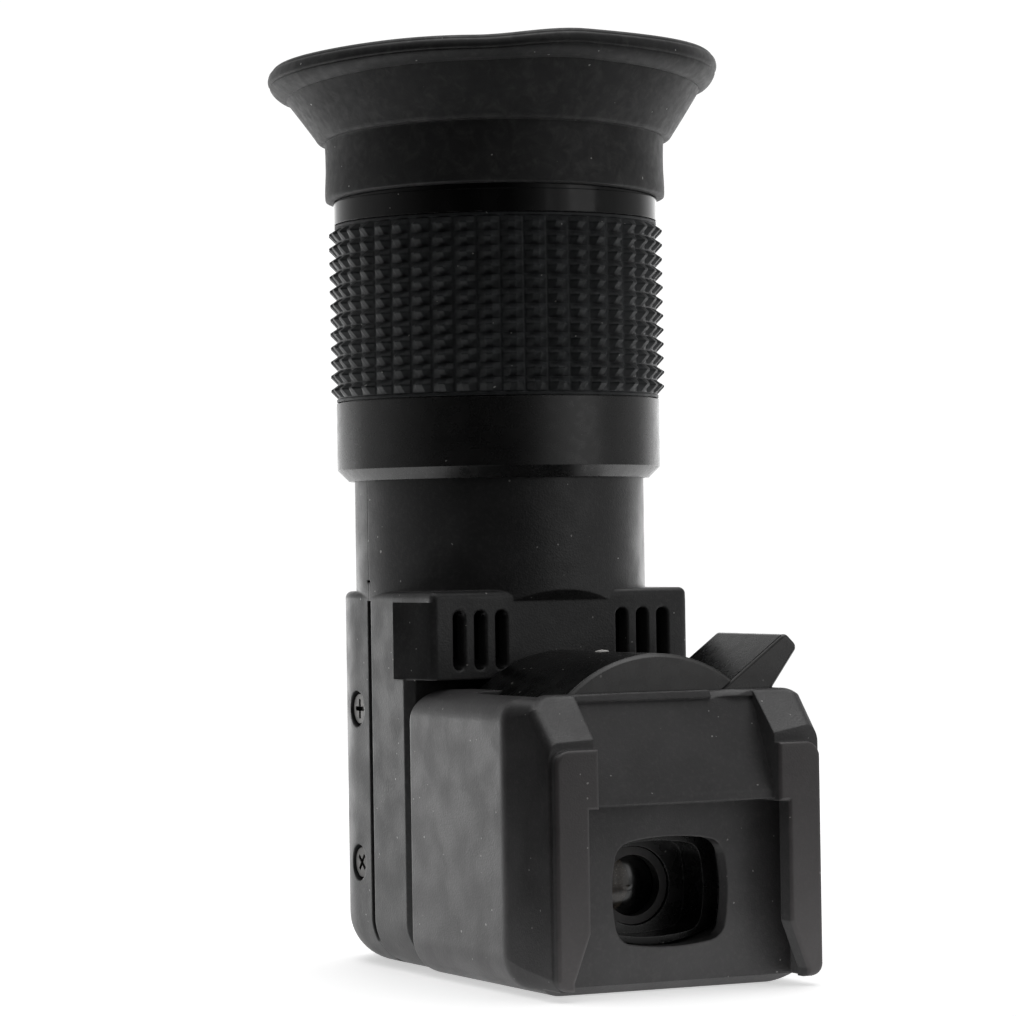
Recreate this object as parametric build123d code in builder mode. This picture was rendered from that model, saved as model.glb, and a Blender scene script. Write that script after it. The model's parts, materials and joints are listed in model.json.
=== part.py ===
from build123d import *
import math
import os

# Right-angle viewfinder attachment for a camera eyepiece, in millimetres.
# X is its width, -Y faces the camera shoe and +Z runs up the eyepiece tube. The origin is on the
# surface that it stands on, under the middle of its outline.

os.makedirs("parts", exist_ok=True)

# ---- driving dimensions -------------------------------------------------------------------------
tube_y = 7.325  # eyepiece axis
half_width = 12.8  # of the prism housing and of the changer block
wall = 1.6  # moulded housing wall
clearance = 0.15  # between pieces that turn or slide on each other
fit = 0.05  # between a lens, ring or pin and its seat

# prism housing
body_front_y = -0.4
body_rear_y = tube_y + 12.8
body_top = 32.7
body_edge = 0.8  # front corners
body_corner = 9.8  # rear corners, seen from above
body_base_round = 4.3
body_top_round = 0.6
lever_edge_round = 0.3
hood_front_y = -4.6  # the vented wall that overhangs the changer block
hood_base = 25.2
hood_top = 31.8  # where the tube's bevelled front overhang starts
hood_crease_y = 2.4
hood_half_width = 12.3
seam_width = 0.66
seam_depth = 0.6
vent_width = 1.1
vent_base = 26.0
vent_top = 31.0
vent_places = (5.8, 7.8, 9.8)
vent_edge = 0.12

# eyepiece tube and dioptre sleeve
tube_radius = 12.8
tube_bore = 11.3
tube_top = 60.0
sleeve_base = 42.4
sleeve_bevel = 1.0
sleeve_radius = 14.3
sleeve_collar_top = 49.3
grip_seat_radius = 13.9
grip_root_radius = 14.2
grip_tip_radius = 14.8
grip_top = 65.1
grip_rows = 12
ring_radius = 14.33
ring_top = 67.05
neck_radius = 14.2
neck_top = 70.8
dioptre_down = 2.0
dioptre_up = 3.0
key_slot_base = 50.2  # of the straight slot that the barrel's key slides in
key_slot_width = 2.3
key_slot_spare = 5.0
seal_groove_top = 46.9
seal_groove_depth = 1.3
seal_groove_radius = 12.25
light_port_radius = 4.4

# eyecup
cup_band_radius = 15.04
cup_band_top = 72.3
cup_lip_radius = 15.6
cup_flare_radius = 18.3
cup_flare_top = 76.4
cup_rim_radius = 19.9
cup_rim_z = 78.2
cup_top = 79.6

# changer block and its shoe
block_rear_y = -0.8
block_top = 24.4
block_top_rounds = (2.5, 1.7)  # along the left and the right top edge
block_base_round = 3.3
block_rear_round = 3.0
block_heel_round = 0.8
block_taper_y = -18.8
block_front_half_width = 12.4
nose_base = 0.75  # the nose stands clear of the floor
nose_base_y = -23.2
panel_top_y = -22.8
panel_base_y = -26.5
panel_base = 15.9
panel_lip = 0.4
panel_step = 0.3  # panel lies behind a small ridge along its top
plate_y = -23.45  # the plate with the window
rib_front_y = -26.35
rib_cut_reach = 6
rib_cut_width = 20
rib_cut_length = 30
rib_tilts = {-1: -2, 1: 7}  # degrees that each sloping top rises outwards
rib_edge_round = 1.0
rail_front_y = -27.225
rail_top = 20.1
rail_base = 0.85
rail_outer = 12.2
rail_edge_round = 0.3
rail_inner = 8.3
channel_half_width = 9.2
channel_top = 15.3
groove_half_width = 11.3
groove_front_y = -25.5
flare_top = 5.4
flare_base = 1.5
flare_half_width = 10.7

# window and magnification turret
optic_z = 8.1
window_width = 10.7
window_height = 9.0
window_bulge = 0.55
window_corner = 1.7
turret_z = 15.5
turret_radius = 12.0
turret_front_y = -21.7
turret_rear_y = -4.9
turret_bore_gap = 0.25
frame_y = -20.4  # edge of the well in front of each objective
seat_y = -17.1  # floor of that well
cell_radius = 3.3
axle_radius = 1.5
lever_rear_y = -10.5
lever_root = 9.5
lever_tip = 18.2
lever_root_half = 2.15
lever_tip_half = 0.86

# prism
prism_half = 5.8

tube_axis = Axis((0, tube_y, 0), (0, 0, 1))
cell_offset = turret_z - optic_z
lens_y = (-15.4, -9.9)  # front faces of the front and the rear lens of each cell


# ---- helpers ------------------------------------------------------------------------------------
def level(z):
    """Horizontal plane centred on the eyepiece tube."""
    return Plane(origin=(0, tube_y, z), x_dir=(1, 0, 0), z_dir=(0, 0, 1))


def facing(y, z=0.0):
    """Upright plane seen from the shoe side: sketch X is X and sketch Y is height above z."""
    return Plane(origin=(0, y, z), x_dir=(1, 0, 0), z_dir=(0, -1, 0))


def save(piece, label):
    """Label a finished piece and write it."""
    piece.part.label = label
    export_step(piece.part, "parts/" + label + ".step")


def turned(points):
    """A ring turned about the eyepiece axis from a closed outline of (radius, height) points."""
    with BuildPart() as ring:
        with BuildSketch(facing(tube_y)):
            with BuildLine():
                Polyline(*points, close=True)
            make_face()
        revolve(axis=tube_axis)
    return ring.part


def barrel(width, height, bulge, corner):
    """A window outline: four bowed sides and rounded corners."""
    half_w = width / 2
    half_h = height / 2
    with BuildSketch(Plane.XY) as outline:
        with BuildLine():
            ThreePointArc((-half_w + bulge, half_h - bulge), (0, half_h), (half_w - bulge, half_h - bulge))
            ThreePointArc((half_w - bulge, half_h - bulge), (half_w, 0), (half_w - bulge, bulge - half_h))
            ThreePointArc((half_w - bulge, bulge - half_h), (0, -half_h), (bulge - half_w, bulge - half_h))
            ThreePointArc((bulge - half_w, bulge - half_h), (-half_w, 0), (bulge - half_w, half_h - bulge))
        make_face()
        fillet(outline.vertices(), radius=corner)
    return outline.sketch


def cap_height(radius, sag):
    """Height above its rim of a spherical cap, halfway out from its middle."""
    ball_radius = (radius**2 + sag**2) / (2 * sag)
    return sag - ball_radius + math.copysign(math.sqrt(ball_radius**2 - radius**2 / 4), ball_radius)


def lens_profile(radius, thickness, lower_sag, upper_sag):
    """Half section of a lens about the sketch's Y axis, from height 0. A positive sag bulges out."""
    half = radius / 2
    with BuildSketch(Plane.XY) as section:
        with BuildLine():
            Line((0, -lower_sag), (0, thickness + upper_sag))
            upper_middle = (half, thickness + cap_height(radius, upper_sag))
            ThreePointArc((0, thickness + upper_sag), upper_middle, (radius, thickness))
            Line((radius, thickness), (radius, 0))
            ThreePointArc((radius, 0), (half, -cap_height(radius, lower_sag)), (0, -lower_sag))
        make_face()
    return section.sketch


def tube_lens(radius, base, thickness, lower_sag, upper_sag):
    """A lens on the eyepiece axis with its lower rim at height base."""
    with BuildPart() as lens:
        with BuildSketch(facing(tube_y, base)):
            add(lens_profile(radius, thickness, lower_sag, upper_sag))
        revolve(axis=tube_axis)
    return lens.part


def cell_lens(x, z, front_y, thickness, front_sag, rear_sag):
    """A lens of the turret, centred on (x, z), with its front rim at front_y."""
    radius = cell_radius - fit
    section_plane = Plane(origin=(x, front_y, z), x_dir=(1, 0, 0), z_dir=(0, 0, 1))
    with BuildPart() as lens:
        with BuildSketch(section_plane):
            add(lens_profile(radius, thickness, front_sag, rear_sag))
        revolve(axis=Axis((x, front_y, z), (0, 1, 0)))
    return lens.part


# ---- prism housing ------------------------------------------------------------------------------
def body_plan(inset, front_y):
    """Outline of the lower housing from above, shrunk by inset all round."""
    rear = body_rear_y - inset
    front = front_y + inset
    with BuildSketch(Plane.XY) as plan:
        with Locations((0, (front + rear) / 2)):
            Rectangle(2 * (half_width - inset), rear - front)
        fillet(plan.vertices().group_by(Axis.Y)[-1], radius=body_corner - inset)
    return plan.sketch


def hood_plan(inset):
    """Outline of the upper housing from above: its sides taper in towards the vented wall."""
    front = hood_front_y + inset
    with BuildSketch(Plane.XY) as plan:
        with BuildLine():
            Polyline(
                (-half_width + inset, body_rear_y - inset),
                (-half_width + inset, hood_crease_y),
                (-hood_half_width + inset, front),
                (hood_half_width - inset, front),
                (half_width - inset, hood_crease_y),
                (half_width - inset, body_rear_y - inset),
                close=True,
            )
        make_face()
        fillet(plan.vertices().group_by(Axis.Y)[-1], radius=body_corner - inset)
    return plan.sketch


screw_y = tube_y + 3.0
screw_heights = (8.9, 22.4)
screw_seat_x = 11.8
screw_shank = 0.8
screw_head = 1.3
screw_recess = 1.6
screw_head_height = 0.7
cross_length = 1.7
cross_width = 0.36
tab_inner_x = 8.6
tab_outer_x = 10.7
block_screw_places = ((-9.4, 4.2), (9.4, 4.2), (-5.6, 21.6), (5.6, 21.6))

with BuildPart() as body_shell:
    with BuildSketch(Plane.XY):
        add(body_plan(0, body_front_y))
    extrude(amount=hood_base)
    front_corners = body_shell.edges().filter_by(Axis.Z).group_by(Axis.Y)[0]
    chamfer(front_corners, length=body_edge)
    foot_edges = body_shell.edges().group_by(Axis.Z)[0].sort_by(Axis.Y)[3:]
    fillet(foot_edges, radius=body_base_round)
    with BuildSketch(Plane.XY.offset(hood_base)):
        add(hood_plan(0))
    extrude(amount=body_top - hood_base)
    fillet(body_shell.edges().filter_by(Axis.Z).group_by(Axis.Y)[0], radius=body_top_round)
    fillet(body_shell.faces().sort_by(Axis.Z)[-1].edges(), radius=body_top_round)
    with BuildSketch(level(hood_top)):
        Circle(tube_radius)
    extrude(amount=tube_top - hood_top)
    # The tube's front overhangs the vented wall on a 45 degree bevel.
    with BuildSketch(Plane.YZ):
        with BuildLine():
            Polyline(
                (hood_front_y, hood_top),
                (hood_front_y - 2.2, hood_top),
                (hood_front_y - 2.2, hood_top + 2.2),
                close=True,
            )
        make_face()
    extrude(amount=7, both=True, mode=Mode.SUBTRACT)
    # Hollow inside, with the tube's bore through the top.
    with BuildSketch(Plane.XY.offset(wall)):
        add(body_plan(wall, body_front_y))
    extrude(amount=hood_base, mode=Mode.SUBTRACT)
    with BuildSketch(Plane.XY.offset(hood_base + wall)):
        add(hood_plan(wall))
    extrude(amount=body_top - hood_base - 2 * wall, mode=Mode.SUBTRACT)
    with BuildSketch(level(body_top - 2 * wall)):
        Circle(tube_bore)
    extrude(amount=tube_top, mode=Mode.SUBTRACT)
    # Vent slots, three each side of the middle.
    with BuildSketch(facing(hood_front_y + 2 * wall, (vent_base + vent_top) / 2)):
        with Locations(*[(side * x, 0) for side in (-1, 1) for x in vent_places]):
            SlotOverall(vent_top - vent_base, vent_width, rotation=90)
    extrude(amount=3 * wall, mode=Mode.SUBTRACT)
    with BuildSketch(facing(hood_front_y + vent_edge, (vent_base + vent_top) / 2)):
        with Locations(*[(side * x, 0) for side in (-1, 1) for x in vent_places]):
            SlotOverall(vent_top - vent_base, vent_width, rotation=90)
    extrude(amount=vent_edge, taper=-45, mode=Mode.SUBTRACT)
    # Light port from the changer block.
    with BuildSketch(facing(body_front_y + 2 * wall, optic_z)):
        Circle(light_port_radius)
    extrude(amount=3 * wall, mode=Mode.SUBTRACT)
    # Holes for the screws that hold the changer block.
    with BuildSketch(facing(body_front_y + 2 * wall)):
        with Locations(*block_screw_places):
            Circle(screw_shank + fit)
    extrude(amount=3 * wall, mode=Mode.SUBTRACT)
    # Groove for the sleeve's seal.
    with BuildSketch(level(seal_groove_top)):
        Circle(tube_radius + 1)
        Circle(seal_groove_radius, mode=Mode.SUBTRACT)
    extrude(amount=seal_groove_depth, mode=Mode.SUBTRACT)
    # Seam groove where the two mouldings meet.
    with BuildSketch(facing(tube_y + seam_width / 2)):
        with Locations((0, body_top / 2)):
            Rectangle(2 * half_width + 2, body_top + 2)
        with Locations((0, body_top / 2 + seam_depth)):
            Rectangle(2 * (half_width - seam_depth), body_top, mode=Mode.SUBTRACT)
        with Locations((0, body_top)):
            Rectangle(2 * half_width + 2, 1.6, mode=Mode.SUBTRACT)
    extrude(amount=seam_width, mode=Mode.SUBTRACT)

seam_plane = Plane(origin=(0, tube_y, 0), x_dir=(1, 0, 0), z_dir=(0, -1, 0))

with BuildPart() as housing_front:
    add(body_shell.part)
    split(bisect_by=seam_plane, keep=Keep.TOP)
    # Tabs that reach behind the seam and take the side screws.
    for screw_z in screw_heights:
        with BuildSketch(Plane.XY.offset(screw_z - 2.6)):
            for side in (-1, 1):
                with Locations((side * (tab_inner_x + tab_outer_x) / 2, tube_y + 0.7)):
                    Rectangle(tab_outer_x - tab_inner_x, 9.4)
                with Locations((side * (tab_inner_x + 11.6) / 2, tube_y - 2.6)):
                    Rectangle(11.6 - tab_inner_x, 2.8)
        extrude(amount=5.2)
    with BuildSketch(Plane.YZ):
        with Locations(*[(screw_y, z) for z in screw_heights]):
            Circle(screw_shank + fit)
    extrude(amount=half_width, both=True, mode=Mode.SUBTRACT)
    # Straight slot that keeps the eyepiece barrel from turning.
    key_slot_length = dioptre_down + dioptre_up + key_slot_spare
    with BuildSketch(facing(tube_y - 10, key_slot_base)):
        with Locations((0, key_slot_length / 2)):
            Rectangle(key_slot_width, key_slot_length)
    extrude(amount=4, mode=Mode.SUBTRACT)
save(housing_front, "housing_front")

with BuildPart() as housing_rear:
    add(body_shell.part)
    split(bisect_by=seam_plane, keep=Keep.BOTTOM)
    with BuildSketch(Plane.YZ):
        with Locations(*[(screw_y, z) for z in screw_heights]):
            Circle(screw_shank + fit)
    extrude(amount=half_width, both=True, mode=Mode.SUBTRACT)
    for side in (-1, 1):
        with BuildSketch(Plane.YZ.offset(side * screw_seat_x)):
            with Locations(*[(screw_y, z) for z in screw_heights]):
                Circle(screw_recess)
        extrude(amount=side * 2, mode=Mode.SUBTRACT)
save(housing_rear, "housing_rear")

with BuildPart() as housing_screws:
    for side in (-1, 1):
        with BuildSketch(Plane.YZ.offset(side * (tab_inner_x + 0.3))):
            with Locations(*[(screw_y, z) for z in screw_heights]):
                Circle(screw_shank)
        extrude(amount=side * (screw_seat_x - tab_inner_x - 0.3))
        with BuildSketch(Plane.YZ.offset(side * screw_seat_x)):
            with Locations(*[(screw_y, z) for z in screw_heights]):
                Circle(screw_head)
        extrude(amount=side * screw_head_height)
        with BuildSketch(Plane.YZ.offset(side * (screw_seat_x + 0.3))):
            for z, turn in zip(screw_heights, (40, 0)):
                with Locations(Location((screw_y, z, 0), (0, 0, turn))):
                    Rectangle(cross_length, cross_width)
                    Rectangle(cross_width, cross_length)
        extrude(amount=side, mode=Mode.SUBTRACT)
save(housing_screws, "housing_screws")

# ---- prism and the optics over it ----------------------------------------------------------------
prism_low = optic_z - prism_half
prism_high = optic_z + prism_half
prism_front = tube_y - prism_half
prism_rear = tube_y + prism_half


def prism_wedge(grow, half_breadth):
    """Right-angle wedge with its sloping face to the rear and below."""
    with BuildPart() as wedge:
        with BuildSketch(Plane.YZ):
            with BuildLine():
                Polyline(
                    (prism_front - grow, prism_low - 2 * grow),
                    (prism_front - grow, prism_high + grow),
                    (prism_rear + 2 * grow, prism_high + grow),
                    close=True,
                )
            make_face()
        extrude(amount=half_breadth, both=True)
    return wedge.part


ridge_plane = Plane(origin=(0, tube_y, optic_z), x_dir=(1, 0, 0), z_dir=(0, 1, 1))
with BuildPart() as roof_prism:
    add(prism_wedge(0, prism_half))
    # The sloping face is a 90 degree roof, which turns the picture the right way round.
    with BuildSketch(ridge_plane):
        with BuildLine():
            Polyline(
                (0, 0),
                (-prism_half, -prism_half),
                (-prism_half, -2 * prism_half),
                (prism_half, -2 * prism_half),
                (prism_half, -prism_half),
                close=True,
            )
        make_face()
    extrude(amount=2 * prism_half, both=True, mode=Mode.INTERSECT)
save(roof_prism, "roof_prism")

with BuildPart() as prism_holder:
    with BuildSketch(Plane.XY.offset(wall)):
        with Locations((0, tube_y + 1)):
            Rectangle(2 * prism_half + 2.6, 2 * prism_half + 2)
    extrude(amount=prism_high - wall)
    add(prism_wedge(fit, prism_half + fit), mode=Mode.SUBTRACT)
    with BuildSketch(Plane.YZ):
        with Locations((tube_y + 4, optic_z - 3.4)):
            Circle(1.6)
    extrude(amount=prism_half + 2, both=True, mode=Mode.SUBTRACT)
save(prism_holder, "prism_holder")

with BuildPart() as prism_clip:
    with BuildSketch(Plane.XY.offset(prism_high + 0.1)):
        with Locations((0, tube_y + 1)):
            Rectangle(2 * prism_half + 3.4, 2 * prism_half + 2)
        with Locations((0, tube_y)):
            Circle(5.3, mode=Mode.SUBTRACT)
    extrude(amount=0.35)
    for side in (-1, 1):
        with BuildSketch(Plane.XY.offset(prism_high + 0.45)):
            with Locations((side * (prism_half + 1.54), tube_y + 1)):
                Rectangle(0.32, 6)
        extrude(amount=-7)
save(prism_clip, "prism_clip")

relay_radius = 5.85
relay_lens_radius = 5.15
relay_ring_bore = 4.4

with BuildPart() as field_lens:
    add(tube_lens(relay_lens_radius, 17.2, 1.4, 0.05, 0.9))
save(field_lens, "field_lens")

with BuildPart() as relay_tube:
    add(
        turned(
            [
                (relay_ring_bore, 16.2),
                (relay_radius, 16.2),
                (relay_radius, 33.4),
                (tube_bore - fit, 33.4),
                (tube_bore - fit, 34.8),
                (relay_radius, 34.8),
                (relay_radius, 37.0),
                (relay_lens_radius + fit, 37.0),
                (relay_lens_radius + fit, 17.1),
                (relay_ring_bore, 17.1),
            ]
        )
    )
save(relay_tube, "relay_tube")

with BuildPart() as relay_lens:
    add(tube_lens(relay_lens_radius, 25.0, 2.6, 0.8, 0.6))
save(relay_lens, "relay_lens")

with BuildPart() as relay_rings:
    for ring_base, ring_end in ((18.9, 24.7), (27.8, 29.2)):
        add(
            turned(
                [
                    (relay_ring_bore, ring_base),
                    (relay_lens_radius, ring_base),
                    (relay_lens_radius, ring_end),
                    (relay_ring_bore, ring_end),
                ]
            )
        )
save(relay_rings, "relay_rings")

with BuildPart() as field_stop:
    add(turned([(4.6, 40.6), (5.2, 40.0), (tube_bore - fit, 40.0), (tube_bore - fit, 41.2), (4.6, 41.2)]))
save(field_stop, "field_stop")

with BuildPart() as sleeve_seal:
    add(turned([(12.3, 46.95), (12.88, 46.95), (12.88, 48.15), (12.3, 48.15)]))
save(sleeve_seal, "sleeve_seal")

# ---- changer block -------------------------------------------------------------------------------
turret_bore = turret_radius + turret_bore_gap
bore_front_y = -22.0
axle_front_y = -22.9


def rib_slope(side):
    """Plane of one rib's sloping top; sketch X runs outwards."""
    tilt = math.radians(rib_tilts[side])
    across = math.sin(tilt) * math.sqrt(0.5)
    up = math.cos(tilt) * math.sqrt(0.5)
    return Plane(
        origin=(side * rail_inner, panel_top_y, block_top),
        x_dir=(side * math.cos(tilt), -across, across),
        z_dir=(-side * math.sin(tilt), -up, up),
    )


with BuildPart() as changer_housing:
    # Rounded box back to front, with a full-height nose that becomes the shoe.
    with BuildSketch(facing(block_rear_y)) as section:
        with Locations((0, block_top / 2)):
            Rectangle(2 * half_width, block_top)
        for corner, corner_round in zip((0, -1), block_top_rounds):
            fillet(section.vertices().group_by(Axis.Y)[-1].sort_by(Axis.X)[corner], radius=corner_round)
        fillet(section.vertices().group_by(Axis.Y)[0], radius=block_base_round)
    extrude(amount=block_rear_y - rib_front_y)
    # Rounded rear end, seen from the side.
    with BuildSketch(Plane.YZ) as side_view:
        with Locations(((block_rear_y + rib_front_y) / 2, block_top / 2)):
            Rectangle(block_rear_y - rib_front_y, block_top)
        fillet(side_view.vertices().group_by(Axis.Y)[-1].sort_by(Axis.X)[-1], radius=block_rear_round)
        fillet(side_view.vertices().group_by(Axis.Y)[0].sort_by(Axis.X)[-1], radius=block_heel_round)
    extrude(amount=half_width + 1, both=True, mode=Mode.INTERSECT)
    # Side facets that taper towards the shoe.
    with BuildSketch(Plane.XY):
        for side in (-1, 1):
            with BuildLine():
                Polyline(
                    (side * half_width, block_taper_y),
                    (side * block_front_half_width, rail_front_y),
                    (side * (half_width + 2), rail_front_y),
                    (side * (half_width + 2), block_taper_y),
                    close=True,
                )
            make_face()
    extrude(amount=block_top + 1, mode=Mode.SUBTRACT)
    # Ribs: their tops slope down at 45 degrees, tilted a little.
    for side in (-1, 1):
        with BuildSketch(rib_slope(side)):
            with Locations((rib_cut_reach, 0)):
                Rectangle(rib_cut_width, rib_cut_length)
        extrude(amount=8, mode=Mode.SUBTRACT)
    rib_slopes = changer_housing.faces().filter_by(lambda f: abs(f.normal_at().Y + f.normal_at().Z) < 0.001)
    rib_slopes = rib_slopes.filter_by(lambda f: f.normal_at().Z > 0.5)
    outer_edges = [face.edges().sort_by(lambda e: abs(e.center().X))[-2:] for face in rib_slopes]
    fillet(outer_edges[0] + outer_edges[1], radius=rib_edge_round)
    # Sloping panel between the ribs, ending in a small lip over the channel.
    with BuildSketch(Plane.YZ):
        with BuildLine():
            Polyline(
                (panel_top_y, block_top),
                (panel_top_y - panel_step, block_top - 2 * panel_step),
                (panel_top_y, block_top - 2 * panel_step),
                (panel_base_y, panel_base),
                (panel_base_y, panel_base - panel_lip),
                (plate_y, channel_top),
                (rail_front_y - 1, channel_top),
                (rail_front_y - 1, block_top + 1),
                (panel_top_y, block_top + 1),
                close=True,
            )
        make_face()
    extrude(amount=rail_inner, both=True, mode=Mode.SUBTRACT)
    # Raised rail faces.
    with BuildSketch(facing(rib_front_y)) as rails:
        for side in (-1, 1):
            with Locations((side * (rail_inner + rail_outer) / 2, (rail_top + rail_base) / 2)):
                Rectangle(rail_outer - rail_inner, rail_top - rail_base)
        fillet(rails.vertices().group_by(Axis.Y)[-1].sort_by(Axis.X)[0], radius=1.3)
        fillet(rails.vertices().group_by(Axis.Y)[-1].sort_by(Axis.X)[-1], radius=1.3)
        fillet(rails.vertices().group_by(Axis.Y)[0].sort_by(Axis.X)[0], radius=1.0)
        fillet(rails.vertices().group_by(Axis.Y)[0].sort_by(Axis.X)[-1], radius=1.0)
    extrude(amount=rib_front_y - rail_front_y)
    # Channel and side grooves that slide over the camera's eyepiece frame, open below.
    with BuildSketch(facing(plate_y)):
        with Locations((0, (channel_top - 1) / 2)):
            Rectangle(2 * channel_half_width, channel_top + 1)
        with BuildLine():
            Polyline(
                (-flare_half_width, -1),
                (-flare_half_width, flare_base),
                (-channel_half_width, flare_top),
                (channel_half_width, flare_top),
                (flare_half_width, flare_base),
                (flare_half_width, -1),
                close=True,
            )
        make_face()
    extrude(amount=10, mode=Mode.SUBTRACT)
    with BuildSketch(facing(plate_y)):
        with Locations((0, (channel_top - 1) / 2)):
            Rectangle(2 * groove_half_width, channel_top + 1)
    extrude(amount=plate_y - groove_front_y, mode=Mode.SUBTRACT)
    fillet(changer_housing.faces().sort_by(Axis.Y)[:2].edges(), radius=rail_edge_round)
    # The nose's underside rises clear of the floor.
    with BuildSketch(Plane.YZ):
        with BuildLine():
            Polyline(
                (nose_base_y + 1, 0),
                (nose_base_y, nose_base),
                (rail_front_y - 1, nose_base),
                (rail_front_y - 1, -1),
                (nose_base_y + 1, -1),
                close=True,
            )
        make_face()
    extrude(amount=half_width + 1, both=True, mode=Mode.SUBTRACT)
    # Window.
    with BuildSketch(facing(bore_front_y + 1, optic_z)):
        add(barrel(window_width, window_height, window_bulge, window_corner))
    extrude(amount=4, mode=Mode.SUBTRACT)
    # Turret bore, which breaks out of the top.
    with BuildSketch(facing(1, turret_z)):
        Circle(turret_bore)
    extrude(amount=1 - bore_front_y, mode=Mode.SUBTRACT)
    # Room for the lever over its travel.
    with BuildSketch(facing(lever_rear_y + 0.4)):
        with BuildLine():
            Polyline(
                (-7.9, 19.8),
                (-11.5, 24.7),
                (-11.5, 26),
                (11.5, 26),
                (11.5, 24.7),
                (7.9, 19.8),
                close=True,
            )
        make_face()
    extrude(amount=lever_rear_y + 0.4 - bore_front_y, mode=Mode.SUBTRACT)
    # Axle seat and the holes for the lower screws.
    with BuildSketch(facing(bore_front_y + 1, turret_z)):
        Circle(axle_radius)
    extrude(amount=1 + bore_front_y - axle_front_y, mode=Mode.SUBTRACT)
    with BuildSketch(facing(1)):
        with Locations(*block_screw_places[:2]):
            Circle(screw_shank + fit)
    extrude(amount=8, mode=Mode.SUBTRACT)
save(changer_housing, "changer_housing")

plate_front_y = -4.6
detent_well_y = -1.4
detent_radius = 10.3
detent_angle = 157
detent_ball_radius = 0.8
detent_ball_y = -4.55
detent_x = detent_radius * math.cos(math.radians(detent_angle))
detent_z = turret_z + detent_radius * math.sin(math.radians(detent_angle))

with BuildPart() as back_plate:
    with BuildSketch(facing(-2.6, turret_z)):
        Circle(turret_bore - fit)
    extrude(amount=-2.6 - plate_front_y)
    with BuildSketch(facing(block_rear_y)):
        with Locations((0, turret_z)):
            Circle(3.4)
        with Locations(*block_screw_places[2:]):
            Circle(2.1)
        with Locations((0, optic_z)):
            Circle(4.6)
        with Locations((detent_x, detent_z)):
            Circle(1.8)
    extrude(amount=block_rear_y + 2.6)
    with BuildSketch(Plane.XY.offset(block_top - 0.1)):
        Rectangle(40, 40)
    extrude(amount=10, mode=Mode.SUBTRACT)
    with BuildSketch(facing(1, optic_z)):
        Circle(3.6)
    extrude(amount=8, mode=Mode.SUBTRACT)
    with BuildSketch(facing(1, turret_z)):
        Circle(axle_radius)
    extrude(amount=8, mode=Mode.SUBTRACT)
    with BuildSketch(facing(1)):
        with Locations(*block_screw_places[2:]):
            Circle(screw_shank + fit)
    extrude(amount=8, mode=Mode.SUBTRACT)
    with BuildSketch(facing(detent_well_y)):
        with Locations((detent_x, detent_z)):
            Circle(detent_ball_radius + fit)
    extrude(amount=8, mode=Mode.SUBTRACT)
save(back_plate, "changer_back_plate")

with BuildPart() as block_screws:
    head_y = body_front_y + wall
    with BuildSketch(facing(head_y + 0.8)):
        with Locations(*block_screw_places):
            Circle(screw_head)
    extrude(amount=0.8)
    with BuildSketch(facing(head_y)):
        with Locations(*block_screw_places[:2]):
            Circle(screw_shank)
    extrude(amount=6.6)
    with BuildSketch(facing(head_y)):
        with Locations(*block_screw_places[2:]):
            Circle(screw_shank)
    extrude(amount=5.4)
    with BuildSketch(facing(head_y + 0.8)):
        with Locations(*block_screw_places):
            Rectangle(cross_length, cross_width)
            Rectangle(cross_width, cross_length)
    extrude(amount=0.4, mode=Mode.SUBTRACT)
save(block_screws, "block_screws")

# ---- magnification turret ------------------------------------------------------------------------
with BuildPart() as turret_axle:
    with BuildSketch(facing(block_rear_y, turret_z)):
        Circle(axle_radius)
    extrude(amount=block_rear_y - axle_front_y)
    chamfer(turret_axle.edges().filter_by(GeomType.CIRCLE), length=0.25)
save(turret_axle, "turret_axle")

low_cell = (0, -cell_offset)  # about the turret axis, seen from the shoe
high_cell = (-cell_offset, 0)

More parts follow.
